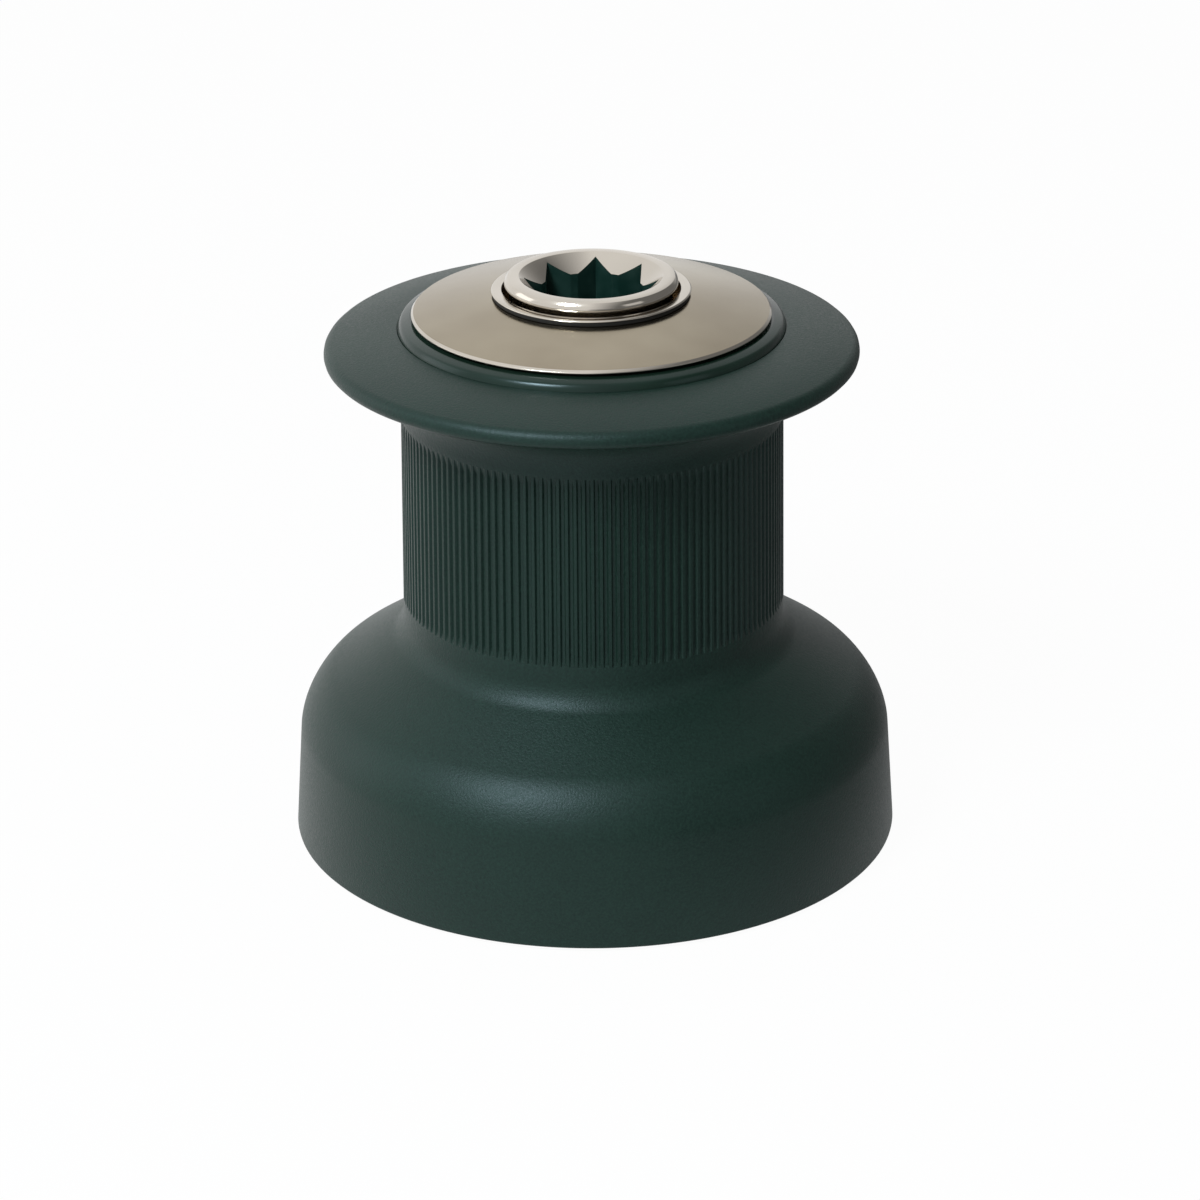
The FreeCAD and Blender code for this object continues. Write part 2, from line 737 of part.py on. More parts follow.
def make_drum():
    """One turned piece: skirt, shoulder, ribbed barrel and top flange, with the web inside."""
    body = new_body("drum")
    run = cells.shoulder_radius - cells.barrel_foot_radius
    rise = cells.barrel_foot_z - cells.shoulder_z
    slope = root_of(run * run + rise * rise)
    inner_shoulder = cells.shoulder_radius - cells.skirt_wall
    inner_shoulder_z = cells.shoulder_z - cells.skirt_wall * (slope - rise) / run
    seat_outside = holding_seat_radius + cells.holding_ring_wall
    seat_top_z = inner_shoulder_z + (inner_shoulder - seat_outside) * rise / run
    revolve(body, "drum_turning", [
        (cells.skirt_radius - cells.skirt_edge_chamfer, cells.skirt_clearance),
        (cells.skirt_radius, cells.skirt_clearance + cells.skirt_edge_chamfer),
        (cells.shoulder_radius, cells.shoulder_z, cells.shoulder_round),
        (cells.barrel_foot_radius, cells.barrel_foot_z, cells.barrel_foot_fillet),
        (cells.barrel_top_radius, cells.barrel_top_z, cells.barrel_top_fillet),
        (cells.rim_radius - cells.rim_under_chamfer, cells.rim_under_z),
        (cells.rim_radius, cells.rim_under_z + cells.rim_under_chamfer),
        (cells.rim_radius, cells.rim_top_z, cells.rim_top_round),
        (cells.collar_radius + cells.seat_gap, cells.flange_top_z),
        (cells.collar_radius + cells.seat_gap, cells.collar_seat_z),
        (cells.upstand_radius, cells.collar_seat_z),
        (cells.upstand_radius, cells.upstand_top_z),
        (upstand_bore, cells.upstand_top_z),
        (upstand_bore, web_top),
        (drum_web_bore, web_top),
        (drum_web_bore, drum_web_z),
        (drive_seat_radius, drum_web_z),
        (drive_seat_radius, cells.drive_ring_z - cells.drive_seat_lead),
        (drum_bore, cells.drive_ring_z - cells.drive_seat_lead),
        (drum_bore, cells.drum_bore_foot_z),
        (drum_lip_radius, cells.drum_bore_foot_z),
        (drum_lip_radius, holding_ring_top),
        (holding_seat_radius, holding_ring_top),
        (holding_seat_radius, cells.holding_ring_z),
        (seat_outside, cells.holding_ring_z),
        (seat_outside, seat_top_z),
        (inner_shoulder, inner_shoulder_z, cells.shoulder_round - cells.skirt_wall),
        (cells.skirt_radius - cells.skirt_wall, cells.skirt_clearance),
    ])
    # Holes for the ratchet rings' dowel pins, open to the rings' seats.
    for name, circle, pin, seat_z in (
        ("holding_dowel", cells.holding_ring_pin_circle, cells.holding_ring_pin, holding_ring_top),
        ("drive_dowel", cells.drive_ring_pin_circle, cells.drive_ring_pin, drum_web_z),
    ):
        depth = cells.ring_pin_depth + cells.groove_play
        place = new_sketch(body, f"{name}_place", height=seat_z + depth)
        draw_circle(place, circle / 2, 0, pin + cells.seat_gap)
        cut = pocket(body, f"{name}_hole", place, depth)
        around(body, f"{name}_holes", cut, cells.ring_pin_count)
    # The barrel's ribs: narrow grooves along the taper, with the cutter's run-out at each end.
    height = cells.barrel_top_z - cells.barrel_foot_z
    taper = (cells.barrel_foot_radius - cells.barrel_top_radius) / height
    foot_radius = cells.barrel_foot_radius - (cells.rib_foot_z - cells.barrel_foot_z) * taper
    top_radius = cells.barrel_foot_radius - (cells.rib_top_z - cells.barrel_foot_z) * taper
    depth = cells.rib_groove_depth
    clear = depth * 2
    groove = new_sketch(body, "groove_outline", "XZ_Plane")
    draw_outline(groove, [
        (foot_radius - depth, cells.rib_foot_z + depth),
        (foot_radius + clear, cells.rib_foot_z - clear),
        (top_radius + clear, cells.rib_top_z + clear),
        (top_radius - depth, cells.rib_top_z - depth),
    ])
    pitch = cells.barrel_top_radius / cells.rib_count * (2 * math.pi)
    cut = pocket(body, "groove", groove, pitch * cells.rib_groove_share)
    cut.Midplane = True
    around(body, "grooves", cut, cells.rib_count)
    return body


def ratchet_ring(name, teeth, outer, root, crest, foot, height, lie, pin, pin_circle):
    """An internal ratchet ring: steep tooth faces that push or hold, and sloping backs."""
    body = new_body(name)
    blank = new_sketch(body, "blank_outline", height=foot)
    draw_circle(blank, 0, 0, outer)
    draw_circle(blank, 0, 0, crest)
    pad(body, "blank", blank, height)
    # The steep face stands just clockwise of a lifted pawl's tip, so that the pawl can fall in.
    degrees = 180 / math.pi
    face = -lie.lifted_swing - cells.ratchet_gap / root * degrees
    floor_end = face + cells.tooth_root_land / root * degrees
    back_end = face + as_size(360) / teeth - cells.tooth_land / crest * degrees
    within = crest - cells.free_gap
    gap = new_sketch(body, "tooth_gap_outline", height=foot + height)
    draw_outline(gap, [
        polar(within, face),
        polar(root, face),
        polar(root, floor_end),
        polar(crest, back_end),
        polar(within, back_end),
    ])
    cut = pocket(body, "tooth_gap", gap, height)
    around(body, "tooth_gaps", cut, teeth)
    place = new_sketch(body, "pin_place", height=foot + height)
    draw_circle(place, pin_circle / 2, 0, pin + cells.seat_gap)
    cut = pocket(body, "pin_hole", place, height)
    around(body, "pin_holes", cut, cells.ring_pin_count)
    return body


def ring_pins(name, circle, pin, foot, top):
    """Dowel pins that key a ratchet ring to the drum."""
    body = new_body(name)
    group_of(body)
    place = new_sketch(body, "pin_outline", height=foot)
    draw_circle(place, circle / 2, 0, pin)
    around(body, "pins", pad(body, "pin", place, top - foot), cells.ring_pin_count)
    return body


def make_ratchet_rings():
    return [
        ratchet_ring(
            "holding_ratchet_ring", cells.holding_tooth_count, cells.holding_ring_radius,
            cells.holding_ring_root, cells.holding_ring_crest, cells.holding_ring_z,
            cells.holding_ring_height, holding_lie, cells.holding_ring_pin,
            cells.holding_ring_pin_circle,
        ),
        ring_pins(
            "holding_ring_pins", cells.holding_ring_pin_circle, cells.holding_ring_pin,
            cells.holding_ring_z, holding_ring_top + cells.ring_pin_depth,
        ),
        ratchet_ring(
            "drive_ratchet_ring", cells.drive_tooth_count, drive_ring_radius,
            cells.drive_ring_root, cells.drive_ring_crest, cells.drive_ring_z,
            cells.drive_ring_height, drive_lie, cells.drive_ring_pin, cells.drive_ring_pin_circle,
        ),
        ring_pins(
            "drive_ring_pins", cells.drive_ring_pin_circle, cells.drive_ring_pin,
            cells.drive_ring_z, drum_web_z + cells.ring_pin_depth,
        ),
    ]


def make_collar_and_cap():
    """The black collar on the flange, the polished cap that screws into the drum, and its seal."""
    collar = new_body("cap_collar")
    bore = cells.upstand_radius + cells.seat_gap
    revolve(collar, "collar_turning", [
        (bore, cells.collar_seat_z),
        (cells.collar_radius, cells.collar_seat_z),
        (cells.collar_radius, cells.collar_side_z),
        (cells.collar_shoulder_radius, cells.collar_shoulder_z, cells.collar_shoulder_round),
        (cells.collar_top_radius, cells.collar_top_z),
        (bore, cells.collar_top_z),
    ])
    cap = new_body("top_cap")
    sleeve_bore = cells.cap_sleeve_radius - cells.cap_sleeve
    edge_z = cells.cap_edge_z + cells.cap_edge
    groove_top = cells.seal_groove_z + cells.seal_groove
    revolve(cap, "cap_turning", [
        (cap_bore, collet_groove_top),
        (sleeve_bore, collet_groove_top),
        (sleeve_bore, cells.cap_sleeve_z),
        (cells.cap_sleeve_radius, cells.cap_sleeve_z),
        (cells.cap_sleeve_radius, cells.cap_edge_z),
        (cells.cap_radius, cells.cap_edge_z),
        (cells.cap_radius, edge_z),
        (cells.cap_radius - cells.cap_edge_chamfer, edge_z + cells.cap_edge_chamfer),
        (cells.cap_lip_radius, cells.seal_groove_z),
        (cells.seal_groove_radius, cells.seal_groove_z),
        (cells.seal_groove_radius, groove_top),
        (cells.cap_lip_radius, groove_top),
        (cells.cap_lip_radius, cells.cap_top_z - cells.cap_lip_chamfer),
        (cells.cap_lip_radius - cells.cap_lip_chamfer, cells.cap_top_z),
        (cap_bore, cells.cap_top_z),
    ])
    seal = new_body("cap_seal")
    tube(
        seal, "seal_ring", cells.seal_groove_radius + cells.seat_gap, cells.seal_radius,
        seal_foot, groove_top - cells.seat_gap,
    )
    return [collar, cap, seal]


def make_spindle():
    """The main spindle: foot, journal, pawl carrier, and the head with its eight-point socket."""
    body = new_body("main_spindle")
    mouth_z = cells.spindle_top_z - cells.socket_mouth_depth
    lock_top = cells.socket_floor_z + cells.socket_lock_height
    clip_top = cells.circlip_z + cells.circlip + cells.groove_play
    revolve(body, "spindle_turning", [
        (0, cells.spindle_end_z),
        (cells.spindle_radius, cells.spindle_end_z),
        (cells.spindle_radius, cells.circlip_z),
        (cells.circlip_groove_radius, cells.circlip_z),
        (cells.circlip_groove_radius, clip_top),
        (cells.spindle_radius, clip_top),
        (cells.spindle_radius, cells.spindle_step_z),
        (cells.journal_radius, cells.spindle_step_z),
        (cells.journal_radius, carrier_foot),
        (carrier_radius, carrier_foot),
        (carrier_radius, carrier_top),
        (cells.spindle_neck_radius, carrier_top),
        (cells.spindle_neck_radius, cells.collet_groove_z),
        (cells.collet_groove_radius, cells.collet_groove_z),
        (cells.collet_groove_radius, collet_groove_top),
        (cells.head_neck_radius, collet_groove_top),
        (cells.head_neck_radius, cells.head_under_z),
        (cells.spindle_neck_radius - cells.head_under_chamfer, cells.head_under_z),
        (cells.spindle_neck_radius, cells.head_under_z + cells.head_under_chamfer),
        (cells.spindle_neck_radius, cells.spindle_top_z, cells.spindle_top_round),
        (cells.socket_mouth, cells.spindle_top_z),
        (cells.socket_bore, mouth_z),
        (cells.socket_bore, lock_top),
        (cells.socket_lock_radius, lock_top),
        (cells.socket_lock_radius, cells.socket_floor_z),
        (0, cells.socket_floor_z),
    ])
    # Two squares, turned by 45 degrees, make the eight points.
    square = new_sketch(body, "socket_square_outline", height=cells.spindle_top_z)
    half = cells.socket_square / 2
    draw_outline(square, [(-half, -half), (half, -half), (half, half), (-half, half)])
    cut = pocket(body, "socket_square_cut", square, cells.spindle_top_z - lock_top)
    around(body, "socket_star", cut, 2, angle=45)
    pawl_pockets(
        body, "drive_pocket", drive_lie, carrier_foot + cells.carrier_floor, carrier_top,
        carrier_radius,
    )
    pin_hole = new_sketch(body, "drive_pin_place", height=carrier_foot + cells.carrier_floor)
    draw_circle(pin_hole, cells.drive_pivot, 0, cells.drive_pin + cells.seat_gap)
    cut = pocket(body, "drive_pin_hole", pin_hole, cells.carrier_floor - cells.pin_hole_floor)
    around(body, "drive_pin_holes", cut, cells.pawl_count)
    return body


def make_washers_and_clips():
    """Washers, the collets' half rings and the spindle's circlip."""
    bodies = []
    for name, inner, outer, foot, thick in (
        (
            "lower_bearing_washer", cells.stem_radius + cells.pawl_gap,
            drum_bore - cells.washer_side_gap,
            stem_flange_top + cells.seat_gap, cells.bearing_washer,
        ),
        (
            "drum_thrust_washer", cells.spindle_neck_radius + cells.seat_gap,
            carrier_radius - cells.edge_step, carrier_top + cells.seat_gap, cells.thrust_washer,
        ),
        (
            "collet_washer", cells.spindle_neck_radius + cells.seat_gap,
            cells.cap_sleeve_radius - cells.cap_sleeve - cells.free_gap,
            web_top + cells.seat_gap, cells.collet_washer,
        ),
        (
            "spindle_washer", cells.spindle_radius + cells.seat_gap, cells.spindle_washer_radius,
            cells.circlip_z + cells.circlip + cells.pawl_gap, cells.spindle_washer,
        ),
    ):
        body = new_body(name)
        tube(body, "washer", inner, outer, foot, foot + thick)
        bodies.append(body)
    spacer = new_body("bearing_spacer")
    inner = cells.stem_radius + cells.pawl_gap
    tube(
        spacer, "sleeve", inner, inner + cells.bearing_spacer,
        lower_cage_foot + cells.cage_height + cells.cage_gap, upper_cage_foot - cells.cage_gap,
    )
    bodies.append(spacer)
    # The circlip is open on one side. The collets are split on both.
    for name, inner, outer, foot, thick, split, from_side in (
        (
            "spindle_circlip", cells.circlip_groove_radius + cells.seat_gap, cells.circlip_radius,
            cells.circlip_z + cells.groove_play / 2, cells.circlip, cells.circlip_gap, as_size(0),
        ),
        (
            "collets", cells.collet_groove_radius + cells.seat_gap, cells.collet_radius,
            collet_foot, cells.collet_height, cells.collet_split,
            -(cells.collet_radius + cells.cut_beyond),
        ),
    ):
        body = new_body(name)
        group_of(body)
        tube(body, "ring", inner, outer, foot, foot + thick)
        slit = new_sketch(body, "slit_outline", height=foot + thick)
        to_side = outer + cells.cut_beyond
        draw_outline(slit, [
            (from_side, -split / 2), (to_side, -split / 2),
            (to_side, split / 2), (from_side, split / 2),
        ])
        pocket(body, "slit", slit, thick)
        bodies.append(body)
    return bodies


def make_bearing(name, foot):
    """A caged roller bearing that runs on the stem, in the drum's bore."""
    cage = new_body(f"{name}_cage")
    tube(cage, "cage_ring", cage_inner, cage_outer, foot, foot + cells.cage_height)
    pitch_radius = (cells.stem_radius + drum_bore) / 2
    middle = foot + cells.cage_height / 2
    # Windows, cut through the cage from its side.
    window = new_sketch(cage, "window_outline", height=middle + cells.cage_window / 2)
    half = cells.roller_radius + cells.roller_play
    within, beyond = cage_inner - cells.cut_beyond, cage_outer + cells.cut_beyond
    draw_outline(window, [(within, -half), (beyond, -half), (beyond, half), (within, half)])
    cut = pocket(cage, "window", window, cells.cage_window)
    around(cage, "windows", cut, cells.roller_count)
    rollers = new_body(f"{name}_rollers")
    group_of(rollers)
    place = new_sketch(rollers, "roller_outline", height=middle - cells.roller_length / 2)
    draw_circle(place, pitch_radius, 0, cells.roller_radius)
    roller = pad(rollers, "roller", place, cells.roller_length)
    around(rollers, "rollers", roller, cells.roller_count)
    return [cage, rollers]


def make_pawl_pins(name, lie, foot, top):
    """Pivot pins, one for each pawl."""
    body = new_body(name)
    group_of(body)
    place = new_sketch(body, "pin_outline", height=foot)
    draw_circle(place, lie.pivot, 0, lie.pin)
    around(body, "pins", pad(body, "pin", place, top - foot), cells.pawl_count)
    return body


def make_pawl(name, lie, resting, foot, top, turn):
    """A pawl, with a recess on top for its spring, and the spring."""
    body = new_body(name)
    height = top - foot
    hub = new_sketch(body, "hub_outline", height=foot)
    draw_circle(hub, lie.pivot, 0, lie.hub)
    pad(body, "hub", hub, height)
    arm = new_sketch(body, "arm_outline", height=foot)
    draw_outline(arm, [
        lie.spot(resting, 0, -lie.hub),
        lie.spot(
            resting, lie.length - lie.nose * lie.face_along, -(lie.nose * lie.face_aside)
        ),
        lie.spot(resting, lie.length, 0),
        lie.spot(resting, 0, lie.hub / 2),
    ])
    pad(body, "arm", arm, height)
    bore = new_sketch(body, "pin_bore_outline", height=top)
    draw_circle(bore, lie.pivot, 0, lie.pin + cells.running_fit)
    pocket(body, "pin_bore", bore, height)
    coil = lie.pin + cells.spring_wire + cells.spring_gap
    recess_depth = cells.spring_wire * 2 + cells.spring_gap * 2
    recess = new_sketch(body, "spring_recess_outline", height=top)
    draw_circle(recess, lie.pivot, 0, coil + cells.spring_wire + cells.spring_gap)
    pocket(body, "spring_recess", recess, recess_depth)
    shelf = new_sketch(body, "spring_shelf_outline", height=top)
    shelf_side = lie.pivot - coil + cells.spring_wire + cells.spring_gap
    shelf_end = -(cells.spring_leg + cells.spring_gap * 2)
    within = lie.pivot - lie.hub - cells.cut_beyond
    draw_outline(shelf, [
        (within, shelf_end), (shelf_side, shelf_end), (shelf_side, 0), (within, 0),
    ])
    pocket(body, "spring_shelf", shelf, recess_depth)
    spring = make_pawl_spring(name, lie, coil, top - recess_depth / 2)
    flat_turn = FreeCAD.Rotation(FreeCAD.Vector(0, 0, 1), turn)
    for item in (body, spring):
        item.Placement = FreeCAD.Placement(FreeCAD.Vector(), flat_turn)
    return [body, spring]


def make_pawl_spring(name, lie, coil, middle):
    """A spring of square wire: most of a turn round the pin, and a leg against the pocket's wall."""
    body = new_body(name.replace("pawl", "pawl_spring"))
    path = new_sketch(body, "wire_path", height=middle)
    centre = FreeCAD.Vector(lie.pivot.number, 0, 0)
    circle = Part.Circle(centre, FreeCAD.Vector(0, 0, 1), coil.number)
    turn = path.addGeometry(Part.ArcOfCircle(circle, -math.pi / 2, math.pi), False)
    pin_point(path, turn, 3, lie.pivot, as_size(0))
    radius = path.addConstraint(Sketcher.Constraint("Radius", turn, coil.number))
    path.setExpression(f"Constraints[{radius}]", coil.text)
    path.addConstraint(Sketcher.Constraint("Vertical", turn, 3, turn, 1))
    path.addConstraint(Sketcher.Constraint("PointOnObject", turn, 2, -1))
    side = lie.pivot - coil
    leg = path.addGeometry(Part.LineSegment(
        FreeCAD.Vector(side.number, 0, 0),
        FreeCAD.Vector(side.number, -cells.spring_leg.number, 0),
    ), False)
    path.addConstraint(Sketcher.Constraint("Coincident", turn, 2, leg, 1))
    pin_point(path, leg, 2, side, -cells.spring_leg)
    section = new_sketch(body, "wire_section", "XZ_Plane", height=cells.spring_leg)
    wire_foot, wire_top = middle - cells.spring_wire, middle + cells.spring_wire
    wire_in, wire_out = side - cells.spring_wire, side + cells.spring_wire
    draw_outline(section, [
        (wire_in, wire_foot), (wire_out, wire_foot), (wire_out, wire_top), (wire_in, wire_top),
    ])
    wire = body.newObject("PartDesign::AdditivePipe", "wire")
    wire.Profile = section
    wire.Spine = (path, ["Edge1", "Edge2"])
    return body


def make_all():
    parts = [make_base(), make_centre_stem(), make_stem_screws()]
    parts += make_bushes()
    parts.append(make_drum())
    parts += make_ratchet_rings()
    parts += make_collar_and_cap()
    parts.append(make_spindle())
    parts += make_washers_and_clips()
    parts += make_bearing("lower", lower_cage_foot)
    parts += make_bearing("upper", upper_cage_foot)
    holding_top = cells.base_boss_top_z - cells.pawl_gap
    holding_foot = holding_pocket_z + cells.pawl_gap
    drive_top = carrier_top - cells.pawl_gap
    drive_foot = carrier_foot + cells.carrier_floor + cells.pawl_gap
    parts.append(make_pawl_pins(
        "holding_pawl_pins", holding_lie, cells.holding_pin_z, cells.base_boss_top_z
    ))
    parts.append(make_pawl_pins(
        "drive_pawl_pins", drive_lie,
        carrier_foot + cells.pin_hole_floor, carrier_top,
    ))
    for index in range(int(cells.pawl_count.number)):
        letter = "ab"[index % 2]
        turn = index * 360 / cells.pawl_count.number
        parts += make_pawl(
            f"holding_pawl_{letter}", holding_lie, holding_lie.lifted, holding_foot, holding_top, turn
        )
        parts += make_pawl(
            f"drive_pawl_{letter}", drive_lie, drive_lie.engaged, drive_foot, drive_top, turn
        )
    return parts


def check_and_write(parts):
    """Stops at any object that failed, then writes each sub-part to its own file."""
    doc.recompute()
    for item in doc.Objects:
        if "Invalid" in item.State or "Error" in item.State:
            raise RuntimeError(f"{item.Name} failed: {item.State}")
    os.makedirs("parts", exist_ok=True)
    for body in parts:
        shape = body.Shape
        if shape.isNull() or not shape.isValid() or not shape.Solids:
            raise RuntimeError(f"{body.Label} has no valid solid")
        shape.exportStep(f"parts/{body.Label}.step")
        print(f"{body.Label}: {len(shape.Solids)} solids, {shape.Volume:.1f} mm3")


all_parts = make_all()
check_and_write(all_parts)
for name, lie in (("holding", holding_lie), ("drive", drive_lie)):
    print(f"{name} pawl: length {lie.length.number:.2f} mm, swing {lie.travel():.2f} degrees")
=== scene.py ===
import math

import bpy
from mathutils import Matrix, Vector


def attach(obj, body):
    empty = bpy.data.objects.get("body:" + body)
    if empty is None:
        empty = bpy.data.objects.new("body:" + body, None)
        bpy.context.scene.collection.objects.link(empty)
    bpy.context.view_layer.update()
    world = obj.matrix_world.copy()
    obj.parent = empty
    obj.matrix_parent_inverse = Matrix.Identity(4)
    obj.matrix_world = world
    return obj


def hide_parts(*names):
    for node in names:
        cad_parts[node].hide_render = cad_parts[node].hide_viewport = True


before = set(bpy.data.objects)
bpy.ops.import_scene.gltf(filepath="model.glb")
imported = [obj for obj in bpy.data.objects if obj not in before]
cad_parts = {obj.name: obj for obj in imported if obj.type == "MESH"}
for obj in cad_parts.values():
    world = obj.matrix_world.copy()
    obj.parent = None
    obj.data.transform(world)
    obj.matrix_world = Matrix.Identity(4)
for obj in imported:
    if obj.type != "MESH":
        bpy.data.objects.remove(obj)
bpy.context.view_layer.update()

# The drum: one turning of aluminium, bead-blasted and hard-anodised to a green-black. A wide skirt
# covers the base, a sloping shoulder sweeps up into the barrel, and fine ribs run up the barrel so
# that wet rope grips it.
MM = 0.001
SAME_SPOT = MM / 1000
NEAR_SPOT = MM / 100
TURN_STEPS = 240
EDGE_ROUND = 0.15
SKIRT_FOOT = (57.0, 0.8, 0.4)
SKIRT_WALL = 3.4
SHOULDER = (55.2, 27.5, 14.0)
BARREL_FOOT = (35.75, 40.2, 6.0)
BARREL_TOP = (35.2, 92.7, 9.5)
RIM_UNDER = (49.13, 93.85, 1.2)
RIM_TOP = (49.13, 96.75, 1.85)
FLANGE_TOP = 99.65
COLLAR_SEAT = (35.6, 98.7)
UPSTAND = (27.6, 30.0, 100.5)
WEB = (16.3, 91.0, 98.0)
DRUM_BORE = (29.5, 32.2, 80.8)
DRUM_LIP = 34.0
DRIVE_SEAT = 28.55
HOLDING_SEAT = (40.55, 20.0, 28.0)
HOLDING_WALL = 3.0
RIB_COUNT = 144
RIB_COLUMNS = 6
RIB_FOOT = 46.7
RIB_TOP = 83.0
RIB_DEPTH = 0.5
RIB_RAMP = 1.6


def turned(name, corners, steps=TURN_STEPS):
    """Turns a closed outline round Z; its corners are (radius, height) or (radius, height, rounding)."""
    bpy.ops.object.select_all(action="DESELECT")
    bpy.ops.mesh.primitive_plane_add(size=MM)
    piece = bpy.context.object
    piece.name = name
    bpy.ops.object.mode_set(mode="EDIT")
    bpy.ops.mesh.select_all(action="SELECT")
    bpy.ops.mesh.merge(type="CENTER")
    points = [Vector((corner[0] * MM, 0, corner[1] * MM)) for corner in corners]
    bpy.ops.transform.translate(value=points[0])
    for here, after in zip(points, points[1:] + points[:1]):
        bpy.ops.mesh.extrude_vertices_move(TRANSFORM_OT_translate={"value": after - here})
    bpy.ops.mesh.select_all(action="SELECT")
    bpy.ops.mesh.remove_doubles(threshold=SAME_SPOT)
    for index, corner in enumerate(corners):
        if len(corner) == 3:
            here = points[index]
            ahead = points[(index + 1) % len(points)] - here
            half_turn = (math.pi - ahead.angle(points[index - 1] - here)) / 2
            select_points(piece, lambda spot: (spot - here).length < NEAR_SPOT)
            bpy.ops.mesh.bevel(
                offset_type="OFFSET", offset=corner[2] * MM * math.tan(half_turn), profile=0.5,
                segments=max(3, math.ceil(half_turn * corner[2] * 3)), affect="VERTICES",
            )
    bpy.ops.mesh.select_all(action="SELECT")
    bpy.ops.mesh.spin(steps=steps, angle=math.tau, center=(0, 0, 0), axis=(0, 0, 1))
    bpy.ops.mesh.select_all(action="SELECT")
    bpy.ops.mesh.remove_doubles(threshold=SAME_SPOT)
    bpy.ops.mesh.normals_make_consistent(inside=False)
    bpy.ops.object.mode_set(mode="OBJECT")
    return piece


def select_points(piece, wanted):
    """Selects the points of a piece in edit mode whose place is wanted, and no others."""
    bpy.ops.mesh.select_mode(type="VERT")
    bpy.ops.mesh.select_all(action="DESELECT")
    bpy.ops.object.mode_set(mode="OBJECT")
    for vertex in piece.data.vertices:
        vertex.select = wanted(vertex.co)
    bpy.ops.object.mode_set(mode="EDIT")


def finish_piece(piece, material, body, slot, *nodes, sharp=35):
    """Shades a piece smooth up to its sharp edges, gives it its material, and fits it to the frame."""
    bpy.ops.object.select_all(action="DESELECT")
    piece.select_set(True)
    bpy.context.view_layer.objects.active = piece
    bpy.ops.object.shade_smooth_by_angle(angle=math.radians(sharp))
    piece.data.materials.clear()
    piece.data.materials.append(material)
    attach(piece, body)
    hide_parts(*nodes)


class Link:
    """A shader socket that can stand in a sum, where it adds its Math node."""

    def __init__(self, finish, socket):
        self.finish = finish
        self.socket = socket

    def worked(self, operation, first, second):
        return self.finish.node("ShaderNodeMath", {"operation": operation}, {0: first, 1: second})

    def __add__(self, other):
        return self.worked("ADD", self, other)

    def __mul__(self, other):
        return self.worked("MULTIPLY", self, other)

    def __rsub__(self, other):
        return self.worked("SUBTRACT", other, self)

    __radd__ = __add__
    __rmul__ = __mul__


class Finish:
    """A surface finish: one material, whose nodes are added one by one."""

    def __init__(self, name, **fixed):
        self.material = bpy.data.materials.new(name)
        self.material.use_nodes = True
        self.tree = self.material.node_tree
        self.shader = self.tree.nodes["Principled BSDF"]
        self.feed(self.shader, {socket.replace("_", " "): value for socket, value in fixed.items()})

    def node(self, kind, settings=None, inputs=None, output=0):
        """Adds a node, with its settings first, then the values or links of its sockets."""
        node = self.tree.nodes.new(kind)
        for setting, value in (settings or {}).items():
            if setting == "stops":
                while len(node.color_ramp.elements) < len(value):
                    node.color_ramp.elements.new(0.5)
                for stop, (place, colour) in zip(node.color_ramp.elements, value):
                    stop.position = place
                    stop.color = (*colour, 1)
            else:
                setattr(node, setting, value)
        self.feed(node, inputs or {})
        return Link(self, node.outputs[output])

    def feed(self, node, inputs):
        for socket, value in inputs.items():
            if isinstance(value, Link):
                self.tree.links.new(value.socket, node.inputs[socket])
            else:
                node.inputs[socket].default_value = value

    def place(self):
        return self.node("ShaderNodeTexCoord", output="Object")

    def noise(self, cells_per_metre, detail=2.0, roughness=0.5, at=None):
        inputs = {"Vector": at or self.place(), "Scale": cells_per_metre}
        inputs.update({"Detail": detail, "Roughness": roughness})
        return self.node("ShaderNodeTexNoise", inputs=inputs)

    def colours(self, share, *stops):
        return self.node("ShaderNodeValToRGB", {"stops": stops}, {"Fac": share})

    def spread(self, share, low, high):
        """Turns a noise, which is mostly from 0.3 to 0.7, into a value from low to high."""
        inputs = {"Value": share, "From Min": 0.3, "From Max": 0.7, "To Min": low, "To Max": high}
        return self.node("ShaderNodeMapRange", inputs=inputs)

    def wear(self, colour, roughness, height, depth, strength=1.0):
        """Joins the varying colour, roughness and bump to the shader, and returns the material."""
        inputs = {"Height": height, "Distance": depth * MM, "Strength": strength}
        bump = self.node("ShaderNodeBump", inputs=inputs)
        self.feed(self.shader, {"Base Color": colour, "Roughness": roughness, "Normal": bump})
        return self.material


def blasted_anodising():
    """Green-black anodising on a bead-blasted skin, with a fine speckle and faint clouds."""
    finish = Finish("blasted_anodising", Specular_Tint=(0.42, 0.52, 0.56, 1))
    speckle = finish.noise(2200, detail=3.0, roughness=0.65)
    clouds = finish.noise(50, detail=3.0)
    tone = finish.spread(speckle * 0.8 + clouds * 0.2, 0.0, 1.0)
    colour = finish.colours(tone, (0.0, (0.004, 0.013, 0.009)), (1.0, (0.010, 0.029, 0.020)))
    return finish.wear(colour, finish.spread(speckle, 0.36, 0.5), speckle, 0.07)


def barrel_radius(height):
    """The barrel tapers a little towards its top."""
    share = (height - BARREL_FOOT[1]) / (BARREL_TOP[1] - BARREL_FOOT[1])
    return BARREL_FOOT[0] + (BARREL_TOP[0] - BARREL_FOOT[0]) * share


